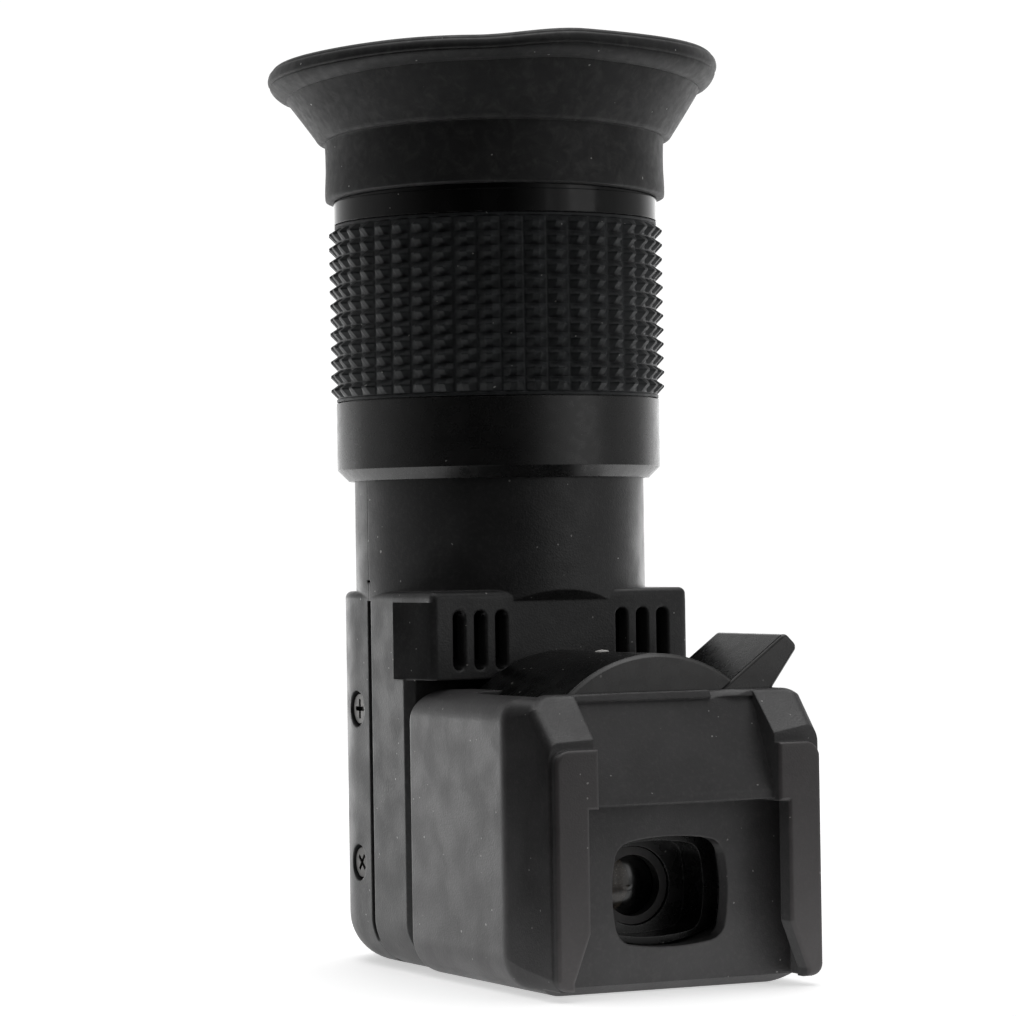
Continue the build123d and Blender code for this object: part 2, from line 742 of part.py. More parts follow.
with BuildPart() as turret_drum:
    with BuildSketch(facing(turret_rear_y, turret_z)):
        Circle(turret_radius)
    extrude(amount=turret_rear_y - turret_front_y)
    chamfer(turret_drum.edges().group_by(Axis.Y)[0], length=0.3)
    # A well behind the window in front of each objective.
    with BuildSketch(facing(frame_y, turret_z)):
        with Locations(low_cell):
            add(barrel(window_width + 1.6, window_height + 0.6, window_bulge, window_corner))
        with Locations(Location((high_cell[0], high_cell[1], 0), (0, 0, 90))):
            add(barrel(window_width + 1.6, window_height + 0.6, window_bulge, window_corner))
    extrude(amount=frame_y - turret_front_y, mode=Mode.SUBTRACT)
    with BuildSketch(facing(seat_y, turret_z)):
        with Locations(low_cell):
            add(barrel(9.44, 7.9, 0.5, 1.5))
        with Locations(high_cell):
            Circle(3.9)
    extrude(amount=seat_y - turret_front_y, mode=Mode.SUBTRACT)
    with BuildSketch(facing(0, turret_z)):
        with Locations(low_cell, high_cell):
            Circle(cell_radius)
        Circle(axle_radius + fit)
    extrude(amount=30, mode=Mode.SUBTRACT)
    # Slot for the lever.
    with BuildSketch(Plane(origin=(0, lever_rear_y, turret_z), x_dir=(1, 0, 1), z_dir=(0, -1, 0))):
        with BuildLine():
            Polyline(
                (lever_root, -lever_root_half),
                (lever_tip, -lever_tip_half),
                (lever_tip, lever_tip_half),
                (lever_root, lever_root_half),
                close=True,
            )
        make_face()
    extrude(amount=lever_rear_y - turret_front_y, mode=Mode.SUBTRACT)
    # Quarter-turn groove in the rear face for the click ball.
    track_half = detent_ball_radius + fit
    with BuildSketch(facing(turret_rear_y, turret_z)):
        with BuildLine():
            outer_arc = CenterArc((0, 0), detent_radius + track_half, detent_angle - 90, 90)
            inner_arc = CenterArc((0, 0), detent_radius - track_half, detent_angle - 90, 90)
            Line(outer_arc @ 0, inner_arc @ 0)
            Line(outer_arc @ 1, inner_arc @ 1)
        make_face()
        with PolarLocations(detent_radius, 2, start_angle=detent_angle - 90, angular_range=90, endpoint=True):
            Circle(track_half)
    extrude(amount=0.6, mode=Mode.SUBTRACT)
save(turret_drum, "turret_drum")

with BuildPart() as lever:
    with BuildSketch(Plane(origin=(0, lever_rear_y, turret_z), x_dir=(1, 0, 1), z_dir=(0, -1, 0))):
        with BuildLine():
            Polyline(
                (lever_root, -lever_root_half),
                (lever_tip, -lever_tip_half),
                (lever_tip, lever_tip_half),
                (lever_root, lever_root_half),
                close=True,
            )
        make_face()
    extrude(amount=lever_rear_y - turret_front_y)
    fillet(lever.edges().filter_by(Axis.Y).sort_by(Axis((0, 0, 0), (1, 0, 1)))[-2:], radius=0.55)
    fillet(lever.faces().sort_by(Axis.Y)[0].edges(), radius=lever_edge_round)
save(lever, "magnifier_lever")

with BuildPart() as low_front_lens:
    add(cell_lens(0, optic_z, lens_y[0], 1.4, 0.6, 0.5))
save(low_front_lens, "low_power_front_lens")

with BuildPart() as low_rear_lens:
    add(cell_lens(0, optic_z, lens_y[1], 1.2, -0.35, 0.2))
save(low_rear_lens, "low_power_rear_lens")

with BuildPart() as high_front_lens:
    add(cell_lens(-cell_offset, turret_z, lens_y[0], 1.8, 0.7, 0.4))
save(high_front_lens, "high_power_front_lens")

with BuildPart() as high_rear_lens:
    add(cell_lens(-cell_offset, turret_z, lens_y[1], 1.6, -0.5, -0.4))
save(high_rear_lens, "high_power_rear_lens")

with BuildPart() as cell_rings:
    with BuildSketch(facing(lens_y[0] - 0.3, turret_z)):
        with Locations(low_cell, high_cell):
            Circle(cell_radius - fit)
        with Locations(low_cell, high_cell):
            Circle(2.55, mode=Mode.SUBTRACT)
    extrude(amount=1.1)
save(cell_rings, "lens_retaining_rings")

with BuildPart() as detent_ball:
    with Locations((detent_x, detent_ball_y, detent_z)):
        Sphere(detent_ball_radius)
save(detent_ball, "detent_ball")

# Spring behind the click ball: a close coil, drawn as its sleeve.
with BuildPart() as detent_spring:
    with BuildSketch(facing(detent_well_y - 0.02)):
        with Locations((detent_x, detent_z)):
            Circle(detent_ball_radius - fit)
            Circle(detent_ball_radius - 0.35, mode=Mode.SUBTRACT)
    extrude(amount=detent_well_y - 0.02 - detent_ball_y - detent_ball_radius)
save(detent_spring, "detent_spring")

# ---- eyepiece barrel, which slides without turning ----------------------------------------------
barrel_radius = tube_bore - clearance
lens_seat = 9.9
lens_radius = lens_seat - fit
flange_radius = 12.35
flange_base = 64.15
flange_top = 64.95
key_height = 52.5

with BuildPart() as ocular_barrel:
    add(
        turned(
            [
                (lens_seat, 46.4),
                (barrel_radius, 46.4),
                (barrel_radius, flange_base),
                (flange_radius, flange_base),
                (flange_radius, flange_top),
                (8.9, flange_top),
                (8.9, 64.45),
                (lens_seat, 64.45),
            ]
        )
    )
    with BuildSketch(facing(tube_y - 8, key_height + 1)):
        Circle(0.8 + fit)
    extrude(amount=5, mode=Mode.SUBTRACT)
save(ocular_barrel, "ocular_barrel")

with BuildPart() as guide_key:
    with BuildSketch(facing(tube_y - 9.95, key_height + 1)):
        Circle(0.8)
    extrude(amount=barrel_radius - 9.9)
    with BuildSketch(facing(tube_y - barrel_radius - fit, key_height + 1)):
        Rectangle(2.0, 2.0)
    extrude(amount=tube_radius - barrel_radius - 0.25)
save(guide_key, "guide_key")

with BuildPart() as ocular_doublet:
    add(tube_lens(lens_radius, 50.5, 4.2, 1.0, 1.3))
save(ocular_doublet, "ocular_field_lens")

with BuildPart() as lens_spacer:
    add(turned([(9.0, 54.96), (lens_radius, 54.96), (lens_radius, 59.9), (9.0, 59.9)]))
save(lens_spacer, "lens_spacer")

with BuildPart() as eye_lens:
    add(tube_lens(lens_radius, 60.2, 3.6, 1.3, 0.9))
save(eye_lens, "eye_lens")

with BuildPart() as ocular_ring:
    add(turned([(8.6, 48.4), (lens_radius, 48.4), (lens_radius, 50.2), (8.6, 50.2)]))
save(ocular_ring, "ocular_retaining_ring")

# ---- dioptre ring, which turns on the tube and carries the barrel up and down --------------------
sleeve_bore = tube_radius + clearance
with BuildPart() as dioptre_sleeve:
    add(
        turned(
            [
                (sleeve_bore, sleeve_base),
                (sleeve_bore + 0.35, sleeve_base),
                (sleeve_radius, sleeve_base + sleeve_bevel),
                (sleeve_radius, sleeve_collar_top),
                (grip_seat_radius, sleeve_collar_top),
                (grip_seat_radius, grip_top),
                (flange_radius + clearance, grip_top),
                (flange_radius + clearance, flange_base - clearance),
                (barrel_radius + 0.2, flange_base - clearance),
                (barrel_radius + 0.2, tube_top + dioptre_down + 0.4),
                (sleeve_bore, tube_top + dioptre_down + 0.4),
            ]
        )
    )
save(dioptre_sleeve, "dioptre_sleeve")

row_pitch = (grip_top - sleeve_collar_top - 0.1) / grip_rows
grip_base = sleeve_collar_top + 0.05
grip_points = [(grip_seat_radius + fit, grip_base), (grip_root_radius, grip_base)]
for row in range(grip_rows):
    row_base = grip_base + row * row_pitch
    grip_points.append((grip_tip_radius, row_base + 0.45 * row_pitch))
    grip_points.append((grip_tip_radius, row_base + 0.55 * row_pitch))
    grip_points.append((grip_root_radius, row_base + row_pitch))
grip_points.append((grip_seat_radius + fit, grip_top - 0.05))
with BuildPart() as grip_ring:
    add(turned(grip_points))
save(grip_ring, "rubber_grip")

with BuildPart() as eyecup_ring:
    add(
        turned(
            [
                (11.6, flange_top + clearance),
                (ring_radius, flange_top + clearance),
                (ring_radius, ring_top),
                (neck_radius, ring_top),
                (neck_radius, 69.4),
                (neck_radius + 0.25, 69.6),
                (neck_radius + 0.25, 70.2),
                (neck_radius, neck_top),
                (12.9, neck_top),
                (11.6, 66.4),
            ]
        )
    )
save(eyecup_ring, "eyecup_ring")

with BuildPart() as eyecup:
    with BuildSketch(facing(tube_y)):
        with BuildLine():
            Polyline(
                (neck_radius + fit, ring_top + 0.05),
                (cup_band_radius - 0.3, ring_top + 0.05),
                (cup_band_radius, ring_top + 0.35),
                (cup_band_radius, cup_band_top),
                (cup_lip_radius, cup_band_top + 0.15),
            )
            ThreePointArc(
                (cup_lip_radius, cup_band_top + 0.15),
                (16.75, 74.1),
                (cup_flare_radius, cup_flare_top),
            )
            Line((cup_flare_radius, cup_flare_top), (18.95, 76.75))
            ThreePointArc((18.95, 76.75), (cup_rim_radius, cup_rim_z), (18.9, cup_top))
            ThreePointArc((18.9, cup_top), (18.2, 79.2), (17.6, 78.1))
            ThreePointArc((17.6, 78.1), (15.6, 74.6), (13.3, 72.4))
            Polyline(
                (13.3, 72.4),
                (12.4, 71.9),
                (12.4, neck_top + 0.1),
                (neck_radius + fit, neck_top + 0.1),
                (neck_radius + fit + 0.25, 70.25),
                (neck_radius + fit + 0.25, 69.55),
                (neck_radius + fit, 69.35),
                (neck_radius + fit, ring_top + 0.05),
            )
        make_face()
    revolve(axis=tube_axis)
save(eyecup, "eyecup")
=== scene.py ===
"""The looks of a right-angle viewfinder attachment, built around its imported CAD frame.

The object's own sizes are in mm and are scaled by MM. The studio's are in metres.
"""
import json
import math
import random

import bpy
from mathutils import Matrix, Vector


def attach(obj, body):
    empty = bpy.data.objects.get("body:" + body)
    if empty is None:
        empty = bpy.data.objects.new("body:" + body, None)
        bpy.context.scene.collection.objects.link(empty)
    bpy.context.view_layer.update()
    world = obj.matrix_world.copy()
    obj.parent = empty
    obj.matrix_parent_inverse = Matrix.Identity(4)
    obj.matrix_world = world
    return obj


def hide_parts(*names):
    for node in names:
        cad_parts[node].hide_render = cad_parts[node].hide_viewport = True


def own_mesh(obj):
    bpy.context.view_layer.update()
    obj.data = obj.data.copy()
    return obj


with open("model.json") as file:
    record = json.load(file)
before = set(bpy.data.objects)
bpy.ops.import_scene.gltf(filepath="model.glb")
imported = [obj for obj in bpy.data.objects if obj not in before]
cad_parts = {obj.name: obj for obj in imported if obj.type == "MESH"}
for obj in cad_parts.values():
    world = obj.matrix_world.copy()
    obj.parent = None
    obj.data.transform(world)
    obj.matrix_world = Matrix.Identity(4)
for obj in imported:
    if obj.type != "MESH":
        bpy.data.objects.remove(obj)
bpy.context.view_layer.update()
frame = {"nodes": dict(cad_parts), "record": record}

MM = 0.001
SEED = 7
TUBE_Y = 7.325  # the eyepiece axis, in mm
VIEW_AZIMUTH = math.radians(26)  # the camera stands this far to the left of the shoe side
BEVEL_SAMPLES = 6

# where single surfaces change their look, in mm
FLANK_START_Y, FLANK_FULL_Y = -18.0, -19.8  # where the block's flanks begin to taper
FLANK_TURN = (0.45, 0.9)  # how far a face has to look sideways to be a flank
FLANK_LEAN = 0.9
HOOD_CREASE_Y, HOOD_BASE, HOOD_TOP = 2.4, 25.2, 31.8
RAIL_Y = -27.0  # the rail faces, rubbed by the camera's eyepiece frame
DRUM_FACE_Y = -21.5  # the drum's front face is painted lighter, a painted highlight for the light it catches, and its sides and wells stay dark
CRESCENT_X, CRESCENT_Z, CRESCENT_RADIUS = -2.75, 8.35, 2.85  # the front lens's crescent, painted lighter where it catches the light, with dust

# colours that several materials share, linear
RUBBED_RAIL = (0.088, 0.078, 0.079)
RAIL_RUB = 0.45  # how much of it shows
# painted highlight: the lighter colour of the drum's front face, for the light it catches
LIT_DRUM_FACE = (0.05, 0.049, 0.048)
DUST_FILM = (0.16, 0.155, 0.15)
PLASTIC_LINT = (0.42, 0.41, 0.40)
SMOOTH_LINT = (0.35, 0.34, 0.33)
RUBBER_LINT = (0.5, 0.5, 0.48)
BARE_METAL = (0.30, 0.29, 0.28)
WHITE = (1, 1, 1, 1)


# ---- node helpers -------------------------------------------------------------------------------
materials = {}


def add_node(tree, kind, inputs, **settings):
    """A new node with its settings; an input is a constant or another node's output."""
    node = tree.nodes.new(kind)
    for key, value in settings.items():
        setattr(node, key, value)
    for key, value in dict(inputs).items():
        if isinstance(value, bpy.types.NodeSocket):
            tree.links.new(value, node.inputs[key])
        else:
            node.inputs[key].default_value = value
    return node


class Surface:
    """A node material with one Principled shader, and short ways to build what feeds it."""

    def __init__(self, name, **constants):
        self.material = bpy.data.materials.new(name)
        materials[name] = self.material
        self.material.use_nodes = True
        self.tree = self.material.node_tree
        self.tree.nodes.clear()
        output = self.tree.nodes.new("ShaderNodeOutputMaterial")
        self.shader = self.tree.nodes.new("ShaderNodeBsdfPrincipled")
        self.tree.links.new(self.shader.outputs[0], output.inputs[0])
        for key, value in constants.items():
            self.shader.inputs[key.replace("_", " ")].default_value = value
        self.place = self.add("ShaderNodeTexCoord").outputs["Object"]

    def add(self, kind, inputs=(), **settings):
        return add_node(self.tree, kind, inputs, **settings)

    def link(self, source, socket):
        self.tree.links.new(source, self.shader.inputs[socket])

    def math(self, operation, a, b=0.0, clamp=False):
        return self.add("ShaderNodeMath", {0: a, 1: b}, operation=operation, use_clamp=clamp).outputs[0]

    def stretch(self, scale, turn=(0, 0, 0)):
        inputs = {"Vector": self.place, "Scale": scale, "Rotation": turn}
        return self.add("ShaderNodeMapping", inputs).outputs[0]

    def noise(self, size_mm, detail=3.0, rough=0.5, place=None, distortion=0.0):
        """Soft noise from 0 to 1, whose blotches are about size_mm across."""
        inputs = {
            "Vector": place or self.place,
            "Scale": 1 / (size_mm * MM),
            "Detail": detail,
            "Roughness": rough,
            "Distortion": distortion,
        }
        return self.add("ShaderNodeTexNoise", inputs).outputs["Fac"]

    def cells(self, size_mm):
        """The distance from the middles of random cells about size_mm across."""
        inputs = {"Vector": self.place, "Scale": 1 / (size_mm * MM)}
        return self.add("ShaderNodeTexVoronoi", inputs, feature="F1").outputs["Distance"]

    def remap(self, value, low, high, to_low=0.0, to_high=1.0):
        """value from low..high to to_low..to_high, smooth at both ends and held outside."""
        inputs = {"Value": value, 1: low, 2: high, 3: to_low, 4: to_high}
        return self.add("ShaderNodeMapRange", inputs, interpolation_type="SMOOTHSTEP").outputs[0]

    def mix(self, amount, first, second):
        inputs = {"Factor": amount, "A": self.rgba(first), "B": self.rgba(second)}
        node = self.tree.nodes.new("ShaderNodeMix")
        node.data_type = "RGBA"
        for socket in node.inputs:
            if socket.enabled and socket.name in inputs:
                value = inputs[socket.name]
                if isinstance(value, bpy.types.NodeSocket):
                    self.tree.links.new(value, socket)
                else:
                    socket.default_value = value
        return next(o for o in node.outputs if o.enabled)

    @staticmethod
    def rgba(value):
        return value if isinstance(value, bpy.types.NodeSocket) else (*value, 1.0)

    def rounded(self, radius_mm):
        """The normal with sharp edges softened over radius_mm."""
        return self.add("ShaderNodeBevel", {"Radius": radius_mm * MM}, samples=BEVEL_SAMPLES).outputs[0]

    def scooped(self, normal):
        """The normal on the flanks that taper towards the shoe, which are faintly dished."""
        facing = self.add("ShaderNodeSeparateXYZ", {0: normal})
        place = self.add("ShaderNodeSeparateXYZ", {0: self.place})
        sideways = self.remap(self.math("ABSOLUTE", facing.outputs[0]), *FLANK_TURN)
        nose = self.remap(place.outputs[1], FLANK_FULL_Y * MM, FLANK_START_Y * MM, 1.0, 0.0)
        before = self.math("LESS_THAN", place.outputs[1], HOOD_CREASE_Y * MM)
        over = self.math("GREATER_THAN", place.outputs[2], HOOD_BASE * MM)
        under = self.math("LESS_THAN", place.outputs[2], HOOD_TOP * MM)
        ear = self.math("MULTIPLY", before, self.math("MULTIPLY", over, under))
        amount = self.math("MULTIPLY", self.math("ADD", nose, ear, clamp=True), sideways)
        lean = self.add("ShaderNodeCombineXYZ", {1: self.math("MULTIPLY", amount, -FLANK_LEAN)}).outputs[0]
        leant = self.add("ShaderNodeVectorMath", {0: normal, 1: lean}, operation="ADD").outputs[0]
        return self.add("ShaderNodeVectorMath", {0: leant}, operation="NORMALIZE").outputs[0]

    def edges(self, radius_mm, start, full):
        """1 on sharp edges and 0 on flats."""
        soft = self.rounded(radius_mm)
        normal = self.add("ShaderNodeNewGeometry").outputs["Normal"]
        along = self.add("ShaderNodeVectorMath", {0: soft, 1: normal}, operation="DOT_PRODUCT")
        return self.remap(self.math("SUBTRACT", 1.0, along.outputs["Value"]), start, full)

    def blotched(self, colour, lighter, lift, size_mm, low=0.3, detail=3.0, rough=0.5):
        """The colour, with lighter blotches about size_mm across."""
        light = [c * lighter + lift for c in colour]
        return self.mix(self.remap(self.noise(size_mm, detail, rough), low, 0.7), colour, light)

    def rubbed(self, edge_mm, patch_mm, low, high, detail=4.0, start=0.02, full=0.16):
        """1 where handling has rubbed the edges, in patches about patch_mm across."""
        patches = self.remap(self.noise(patch_mm, detail, 0.7), low, high)
        return self.math("MULTIPLY", self.edges(edge_mm, start, full), patches, clamp=True)

    def specks(self, size_mm, radius, share):
        """Scattered dust: 1 inside specks that sit in that share of cells size_mm wide."""
        bend = self.wobble(size_mm * 0.25, size_mm * 0.09)
        bent = self.add("ShaderNodeVectorMath", {0: self.place, 1: bend}, operation="ADD").outputs[0]
        inputs = {"Vector": bent, "Scale": 1 / (size_mm * MM)}
        node = self.add("ShaderNodeTexVoronoi", inputs, feature="F1")
        lot = self.add("ShaderNodeSeparateColor", {0: node.outputs["Color"]}).outputs[0]
        chosen = self.math("LESS_THAN", lot, share)
        dot = self.remap(node.outputs["Distance"], radius * 0.7, radius, 1.0, 0.0)
        return self.math("MULTIPLY", dot, chosen)

    def wobble(self, size_mm, amount_mm):
        """A soft random shift of up to amount_mm each way."""
        inputs = {"Vector": self.place, "Scale": 1 / (size_mm * MM), "Detail": 2.0}
        colour = self.add("ShaderNodeTexNoise", inputs).outputs["Color"]
        middle = (0.5, 0.5, 0.5)
        centred = self.add("ShaderNodeVectorMath", {0: colour, 1: middle}, operation="SUBTRACT").outputs[0]
        inputs = {0: centred, "Scale": amount_mm * MM * 2}
        return self.add("ShaderNodeVectorMath", inputs, operation="SCALE").outputs[0]

    def bump(self, height, depth_mm, normal=None, strength=1.0):
        inputs = {"Height": height, "Distance": depth_mm * MM, "Strength": strength}
        if normal is not None:
            inputs["Normal"] = normal
        return self.add("ShaderNodeBump", inputs).outputs[0]


# ---- materials ----------------------------------------------------------------------------------
def moulded(name, colour, worn, rough, dust):
    """Spark-textured black plastic with rubbed edges, dust and faint scratches."""
    grain_mm, grain_depth, edge_wear = 0.16, 0.010, 0.5
    s = Surface(name, Specular_IOR_Level=0.5)
    base = s.blotched(colour, 1.35, 0.001, size_mm=6.0, rough=0.55)
    mottle = s.noise(grain_mm * 2.2, 3.0, 0.6)
    base = s.mix(s.remap(mottle, 0.45, 0.75, 0.0, 0.22), base, worn)
    depth = s.add("ShaderNodeSeparateXYZ", {0: s.place}).outputs[1]
    rails = s.math("LESS_THAN", depth, RAIL_Y * MM)
    base = s.mix(s.math("MULTIPLY", rails, RAIL_RUB), base, RUBBED_RAIL)
    rub = s.rubbed(edge_mm=0.22, patch_mm=0.9, low=0.42, high=0.62)
    base = s.mix(s.math("MULTIPLY", rub, edge_wear), base, worn)
    lint = s.math("ADD", s.specks(1.35, 0.062, share=0.9), s.specks(2.7, 0.045, share=0.6), clamp=True)
    base = s.mix(s.math("MULTIPLY", lint, 0.7), base, PLASTIC_LINT)
    film = s.remap(s.noise(1.7, 5.0, 0.65), 0.5, 0.8, 0.0, dust)
    base = s.mix(film, base, DUST_FILM)
    s.link(base, "Base Color")
    gloss = s.remap(s.noise(3.1, 3.0), 0.3, 0.7, rough - 0.05, rough + 0.06)
    s.link(s.math("ADD", gloss, s.math("MULTIPLY", rub, -0.10)), "Roughness")
    fine = s.cells(grain_mm)
    coarse = s.noise(grain_mm * 1.6, 3.0, 0.6)
    grain = s.math("ADD", fine, s.math("MULTIPLY", coarse, 1.2))
    normal = s.bump(grain, grain_depth, s.scooped(s.rounded(0.25)))
    streaks = s.noise(0.35, 1.0, 0.5, s.stretch((1, 0.05, 1), (0.5, 0.3, 0.9)))
    scratch = s.remap(streaks, 0.70, 0.76)
    s.link(s.bump(scratch, 0.002, normal, 0.4), "Normal")


def smooth_plastic(name, colour, worn, rough, shine=0.5, face=None):
    """Satin or glossy moulded plastic; the drum's front face can be painted lighter, a painted highlight for
    the light it catches.
    """
    edge_wear = 0.6
    s = Surface(name, Specular_IOR_Level=shine)
    base = s.blotched(colour, 1.5, 0.002, size_mm=3.0, low=0.35, detail=4.0, rough=0.6)
    # painted highlight: the drum's front face gets the lighter colour
    if face:
        depth = s.add("ShaderNodeSeparateXYZ", {0: s.place}).outputs[1]
        base = s.mix(s.math("LESS_THAN", depth, DRUM_FACE_Y * MM), base, face)
    rub = s.rubbed(edge_mm=0.16, patch_mm=0.6, low=0.36, high=0.58)
    base = s.mix(s.math("MULTIPLY", rub, edge_wear), base, worn)
    base = s.mix(s.math("MULTIPLY", s.specks(1.5, 0.06, share=0.8), 0.6), base, SMOOTH_LINT)
    s.link(base, "Base Color")
    s.link(s.remap(s.noise(1.3, 4.0, 0.65), 0.3, 0.7, rough - 0.03, rough + 0.07), "Roughness")
    s.link(s.bump(s.noise(0.14, 2.0, 0.5), 0.0022, s.rounded(0.10)), "Normal")


def metal(name, colour, rough, metallic=1.0, turned=True, edge_wear=0.35):
    """Anodised, oxidised or bright metal with turning lines and worn corners."""
    s = Surface(name, Metallic=metallic)
    base = s.blotched(colour, 1.3, 0.002, size_mm=2.5)
    rub = s.rubbed(edge_mm=0.10, patch_mm=0.5, low=0.45, high=0.6, detail=3.0)
    base = s.mix(s.math("MULTIPLY", rub, edge_wear), base, BARE_METAL)
    base = s.mix(s.math("MULTIPLY", s.specks(2.1, 0.045, share=0.5), 0.5), base, SMOOTH_LINT)
    s.link(base, "Base Color")
    s.link(s.remap(s.noise(1.1, 4.0, 0.6), 0.3, 0.7, rough - 0.04, rough + 0.05), "Roughness")
    scale = (0.03, 0.03, 1.0) if turned else (1.0, 1.0, 1.0)
    s.link(s.bump(s.noise(0.05, 2.0, 0.5, s.stretch(scale)), 0.0012, s.rounded(0.06)), "Normal")


def rubber(name, colour, dusty_and_lit, rough, dust):
    """Soft black rubber: a dull bloom, small pores and lint."""
    s = Surface(name, Specular_IOR_Level=0.34, Sheen_Weight=0.08, Sheen_Roughness=0.45)
    base = s.blotched(colour, 1.4, 0.002, size_mm=4.0, detail=4.0, rough=0.6)
    bloom = s.remap(s.noise(1.4, 5.0, 0.7, distortion=0.6), 0.42, 0.8, 0.0, dust)
    base = s.mix(bloom, base, dusty_and_lit)
    rub = s.rubbed(edge_mm=0.15, patch_mm=0.5, low=0.4, high=0.65, detail=3.0, start=0.03, full=0.3)
    base = s.mix(s.math("MULTIPLY", rub, 0.45), base, dusty_and_lit)
    lint = s.math("ADD", s.specks(1.4, 0.06, share=0.55), s.specks(2.6, 0.045, share=0.55), clamp=True)
    base = s.mix(s.math("MULTIPLY", lint, 0.75), base, RUBBER_LINT)
    s.link(base, "Base Color")
    s.link(s.remap(s.noise(0.8, 4.0, 0.6), 0.3, 0.7, rough - 0.05, rough + 0.07), "Roughness")
    pores = s.math("ADD", s.noise(0.10, 3.0, 0.6), s.math("MULTIPLY", s.noise(0.9, 3.0, 0.5), 1.5))
    s.link(s.bump(pores, 0.004, s.rounded(0.10)), "Normal")


def glass(name, tint, rough=0.02, coat_tint=(0.85, 0.9, 1.0)):
    """Coated optical glass with a faint smear of dust."""
    coat = {"Coat_Weight": 0.2, "Coat_Roughness": 0.02, "Coat_Tint": (*coat_tint, 1)}
    s = Surface(name, IOR=1.58, Transmission_Weight=1.0, **coat)
    smear = s.remap(s.noise(1.2, 5.0, 0.7), 0.45, 0.8, 0.0, 0.15)
    base = s.mix(smear, tint, [c * 0.8 for c in tint])
    s.link(base, "Base Color")
    s.link(s.remap(s.noise(0.7, 4.0, 0.6), 0.4, 0.8, rough, rough + 0.05), "Roughness")
    s.link(s.bump(s.noise(0.3, 2.0), 0.0002), "Normal")


def front_glass(name):
    """The lens behind the window: dark, with a dusty crescent painted lighter where it catches the light, a
    painted reflection.
    """
    dark, dusty_and_lit, lit_speck_colour = (0.003, 0.003, 0.003), (0.085, 0.066, 0.048), (0.22, 0.19, 0.15)
    s = Surface(name, Specular_IOR_Level=0.6)
    flat = s.stretch((1, 0, 1))
    centre = (CRESCENT_X * MM, 0, CRESCENT_Z * MM)
    reach = s.add("ShaderNodeVectorMath", {0: flat, 1: centre}, operation="DISTANCE").outputs["Value"]
    bowed = s.remap(reach, (CRESCENT_RADIUS - 0.12) * MM, (CRESCENT_RADIUS + 0.05) * MM, 1.0, 0.0)
    # painted reflection: a warm, lighter crescent with lit specks, partly dust
    cloud = s.remap(s.noise(0.5, 5.0, 0.75), 0.3, 0.75, 0.35, 1.0)
    base = s.mix(s.math("MULTIPLY", bowed, cloud), dark, dusty_and_lit)
    speck = s.math("MULTIPLY", bowed, s.remap(s.noise(0.13, 2.0, 0.6), 0.62, 0.70))
    base = s.mix(s.math("MULTIPLY", speck, 0.6), base, lit_speck_colour)
    s.link(base, "Base Color")
    s.link(s.remap(s.noise(0.7, 4.0, 0.6), 0.4, 0.8, 0.12, 0.2), "Roughness")
    s.link(s.bump(s.noise(0.3, 2.0), 0.0003), "Normal")


# name, colour, worn colour, roughness
moulded("housing_plastic", (0.015, 0.015, 0.0155), (0.075, 0.072, 0.070), 0.43, dust=0.07)
# painted light: the block's plastic is a lighter copy of the housing's, standing in for the brighter light
# on its front faces
moulded("block_plastic_lit", (0.040, 0.039, 0.040), (0.105, 0.098, 0.096), 0.42, dust=0.05)
moulded("inner_plastic", (0.010, 0.010, 0.010), (0.05, 0.05, 0.05), 0.55, dust=0.05)
# the drum's front face carries a painted highlight
smooth_plastic("drum_plastic", (0.003, 0.003, 0.003), (0.10, 0.10, 0.10), 0.26, face=LIT_DRUM_FACE)
smooth_plastic("gloss_plastic", (0.004, 0.004, 0.004), (0.06, 0.06, 0.06), 0.12, shine=0.24)
smooth_plastic("index_paint", (0.55, 0.54, 0.52), (0.30, 0.29, 0.28), 0.45)

# name, colour, roughness
metal("satin_black_metal", (0.009, 0.009, 0.009), 0.27, metallic=0.0, edge_wear=0.1)
metal("black_aluminium", (0.035, 0.034, 0.034), 0.38, metallic=0.6)
metal("black_steel", (0.06, 0.058, 0.056), 0.36, metallic=0.9, turned=False)
metal("spring_steel", (0.55, 0.54, 0.52), 0.28, turned=False)

# name, colour, dusty colour, roughness
rubber("grip_rubber", (0.015, 0.0168, 0.018), (0.10, 0.105, 0.11), 0.50, dust=0.30)
rubber("eyecup_rubber", (0.017, 0.017, 0.0175), (0.11, 0.107, 0.103), 0.55, dust=0.35)
rubber("seal_rubber", (0.012, 0.012, 0.012), (0.05, 0.05, 0.05), 0.7, dust=0.2)

glass("optical_glass", (0.93, 0.96, 0.94))
glass("warm_glass", (0.95, 0.86, 0.70), 0.05, coat_tint=(1.0, 0.8, 0.55))
front_glass("front_glass")

slot_of = {part["node"]: part["material_slot"] for part in frame["record"]["subparts"]}
special = {  # nodes whose look differs from their slot's
    # the block takes the lighter copy of the housing plastic, painted light
    "changer_housing": "block_plastic_lit",
    "low_power_front_lens": "front_glass",
    "low_power_rear_lens": "warm_glass",
}


def dress(obj, material):
    obj.data.materials.clear()
    obj.data.materials.append(material)


for node_name, node in frame["nodes"].items():
    dress(node, materials[special.get(node_name, slot_of[node_name])])


# ---- meshes of our own --------------------------------------------------------------------------
def make_object(name, vertices, faces, material, smooth_angle):
    """A mesh object from points in mm; edges sharper than smooth_angle degrees stay sharp."""
    mesh = bpy.data.meshes.new(name)
    mesh.from_pydata([tuple(c * MM for c in v) for v in vertices], [], faces)
    mesh.validate()
    mesh.update()
    obj = bpy.data.objects.new(name, mesh)
    bpy.context.scene.collection.objects.link(obj)
    mesh.materials.append(material)
    for polygon in mesh.polygons:
        polygon.use_smooth = True
    mesh.set_sharp_from_angle(angle=math.radians(smooth_angle))
    return obj


